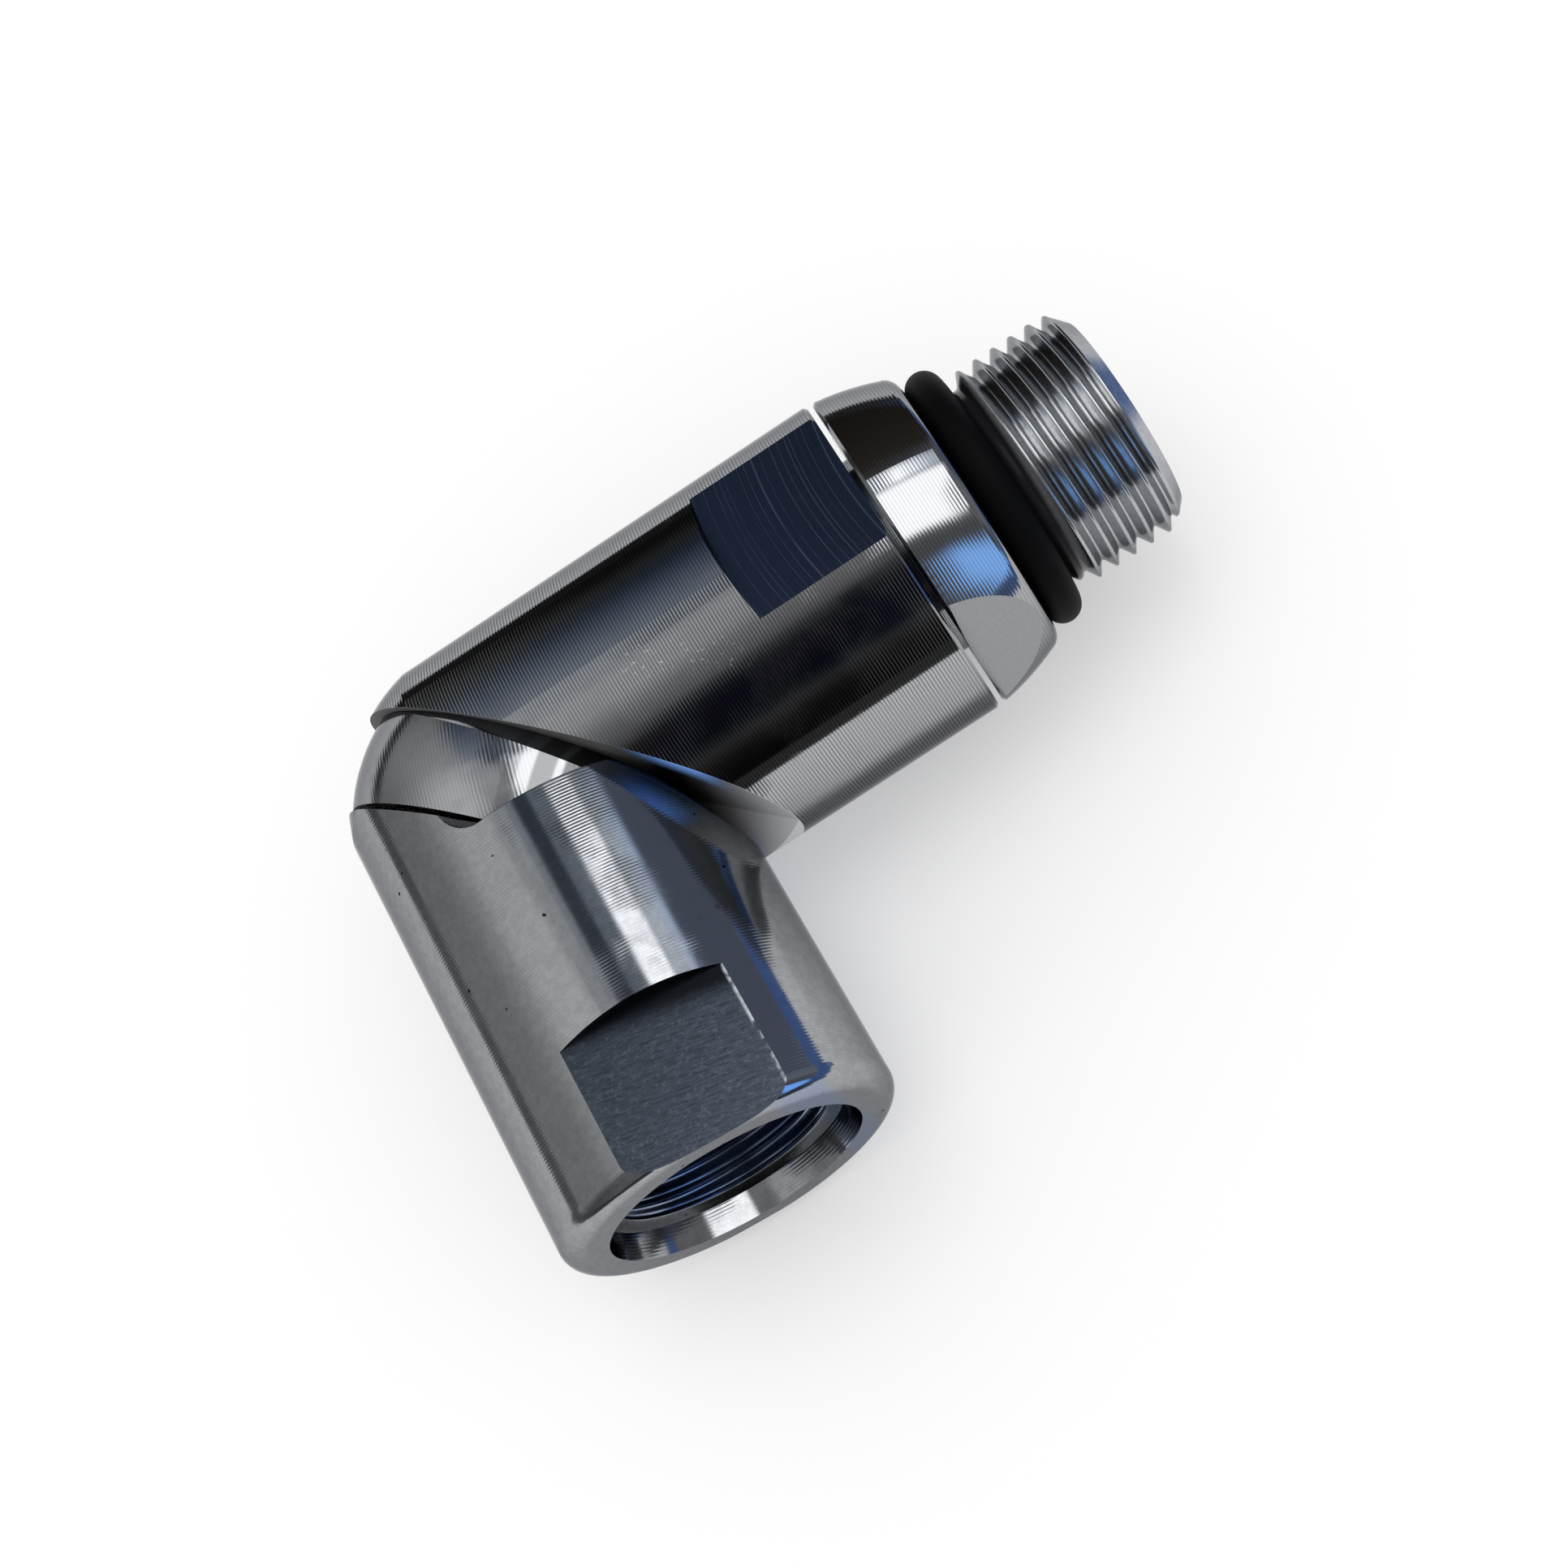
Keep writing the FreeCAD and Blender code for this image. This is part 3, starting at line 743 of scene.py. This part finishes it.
def make_stem():
    """The stem with its thread, in place of the plain cylinder."""
    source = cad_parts["male_stem"]
    limit = (STUD_START - 2 * NEAR) * MM + ELBOW.x

    def drop(face):
        inner = min(math.hypot(v.co.y, v.co.z) for v in face.verts)
        return face.calc_center_median().x > limit and inner > (STUD_TIP_RADIUS - NEAR) * MM

    verts, faces = helix(STUD_START, STUD_END, stud_radius_at, stud_place)
    obj = threaded_copy("threaded_stem", source, drop, verts, faces, STEM, STUD_THREAD)
    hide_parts("male_stem")
    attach(obj, "stem")


def make_port():
    """The port with its thread, in place of the plain bore."""
    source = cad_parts["port_body"]
    low = -(PORT_THREAD_TOP + NEAR / 5) * MM
    high = -(PORT_THREAD_END - NEAR / 5) * MM

    def drop(face):
        radii = [math.hypot(v.co.x - ELBOW.x, v.co.z) for v in face.verts]
        on_bore = max(abs(radius - PORT_MINOR * MM) for radius in radii) < NEAR * MM
        return on_bore and low < face.calc_center_median().y < high

    verts, faces = helix(PORT_THREAD_END, PORT_THREAD_TOP, port_radius_at, port_place)
    obj = threaded_copy("threaded_port", source, drop, verts, faces, PORT, PORT_THREAD)
    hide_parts("port_body")
    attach(obj, "elbow_body")


make_stem()
make_port()


# Stage
def stage_piece(name):
    """Names the piece that was just added and returns it."""
    obj = bpy.context.object
    obj.name = name
    return obj


def only_reflected(obj, material_name, paint):
    """Makes a stage piece glow in the colour that paint gives, seen in reflections alone."""
    mat, graph, bsdf = new_material(material_name)
    graph.nodes.remove(bsdf)
    emit = graph.nodes.new("ShaderNodeEmission")
    graph.put(emit.inputs["Color"], paint(graph))
    graph.put(graph.nodes["Material Output"].inputs["Surface"], emit.outputs[0])
    obj.data.materials.append(mat)
    obj.visible_camera = False
    obj.visible_shadow = False
    obj.visible_diffuse = False


def card(graph, x, y, color, centre, half, soft, paint, lean):
    """Lays one soft-edged card over the tent."""
    dx = graph.math("SUBTRACT", x, centre[0])
    if lean:
        dx = graph.math("MULTIPLY_ADD", graph.math("MAXIMUM", y, 0.0), -lean, dx)
    inside_x = graph.step(graph.math("ABSOLUTE", dx), half[0] + soft, half[0] - soft)
    inside_y = graph.step(graph.distance(y, centre[1]), half[1] + soft, half[1] - soft)
    return graph.lay(color, paint, graph.times(inside_x, inside_y))


def tent_color(graph):
    """Three strips side by side, with soft cards laid over them."""
    x, y = graph.split(graph.vector_math("NORMALIZE", graph.coords())["Vector"])[:2]
    left = graph.ramp(y, LEFT_STRIP)
    left = graph.mix(graph.step(x, -0.50, -0.90), left, graph.mix(FAR_LEFT_SHARE, left, FAR_LEFT))
    color = graph.mix(graph.step(x, -0.30, -0.14), left, graph.ramp(y, MIDDLE_STRIP))
    color = graph.mix(graph.step(x, 0.03, 0.15), color, graph.ramp(y, RIGHT_STRIP))
    for centre, half, soft, paint, lean in CARDS:
        color = card(graph, x, y, color, centre, half, soft, paint, lean)
    return color


def light_tent():
    """A sphere round the part: what the polished metal reflects."""
    bpy.ops.mesh.primitive_uv_sphere_add(segments=64, ring_count=32, radius=TENT_RADIUS, location=ELBOW)
    only_reflected(stage_piece("light_tent"), "tent", tent_color)


def horizon_color(graph):
    x, y = graph.split(graph.coords())[:2]
    x = graph.times(x, 1 / HORIZON_RADIUS)
    y = graph.times(y, 1 / HORIZON_RADIUS)
    return graph.mix(graph.step(x, 0.55, 0.85), graph.ramp(y, HORIZON_STRIP), HORIZON_BLUE)


def horizon_ring():
    """A low ring round the part that the slanting rims reflect."""
    bpy.ops.mesh.primitive_cylinder_add(vertices=96, radius=HORIZON_RADIUS, depth=HORIZON_DEPTH,
                                        end_fill_type="NOTHING",
                                        location=(ELBOW.x, 0, FLOOR_Z + HORIZON_LIFT))
    only_reflected(stage_piece("horizon_ring"), "horizon", horizon_color)


def floor():
    bpy.ops.mesh.primitive_circle_add(vertices=96, radius=FLOOR_RADIUS, fill_type="NGON",
                                      location=(ELBOW.x, 0, FLOOR_Z))
    color = (FLOOR_COLOR, FLOOR_COLOR, FLOOR_COLOR)
    mat = plain("floor_paper", color, 1.0, specular=0.0)
    bsdf = mat.node_tree.nodes["Principled BSDF"]
    bsdf.inputs["Emission Color"].default_value = (1, 1, 1, 1)
    bsdf.inputs["Emission Strength"].default_value = FLOOR_GLOW
    stage_piece("floor").data.materials.append(mat)


def top_light():
    """A wide soft light that the metal doesn't mirror."""
    light = bpy.data.lights.new("top_light", "AREA")
    light.shape = "DISK"
    light.size = LIGHT_SIZE
    light.energy = LIGHT_POWER
    obj = bpy.data.objects.new("top_light", light)
    obj.location = LIGHT_PLACE
    obj.rotation_euler = (LIGHT_TARGET - LIGHT_PLACE).to_track_quat("-Z", "Y").to_euler()
    obj.visible_glossy = False
    bpy.context.scene.collection.objects.link(obj)


def studio_world():
    world = bpy.data.worlds.new("studio")
    world.use_nodes = True
    background = world.node_tree.nodes["Background"]
    background.inputs["Color"].default_value = (1, 1, 1, 1)
    background.inputs["Strength"].default_value = 1.0
    bpy.context.scene.world = world


def camera():
    cam = bpy.data.cameras.new("photo_camera")
    cam.sensor_fit = "HORIZONTAL"
    cam.sensor_width = CAMERA_SENSOR
    cam.lens = CAMERA_LENS
    cam.clip_start, cam.clip_end = CAMERA_CLIP
    obj = bpy.data.objects.new("photo_camera", cam)
    obj.location = ELBOW + CAMERA_PLACE * MM
    obj.rotation_euler = Euler([math.radians(angle) for angle in CAMERA_TURN], "XYZ")
    bpy.context.scene.collection.objects.link(obj)
    bpy.context.scene.camera = obj


light_tent()
horizon_ring()
floor()
top_light()
studio_world()
camera()
bpy.context.scene.view_settings.view_transform = "Standard"
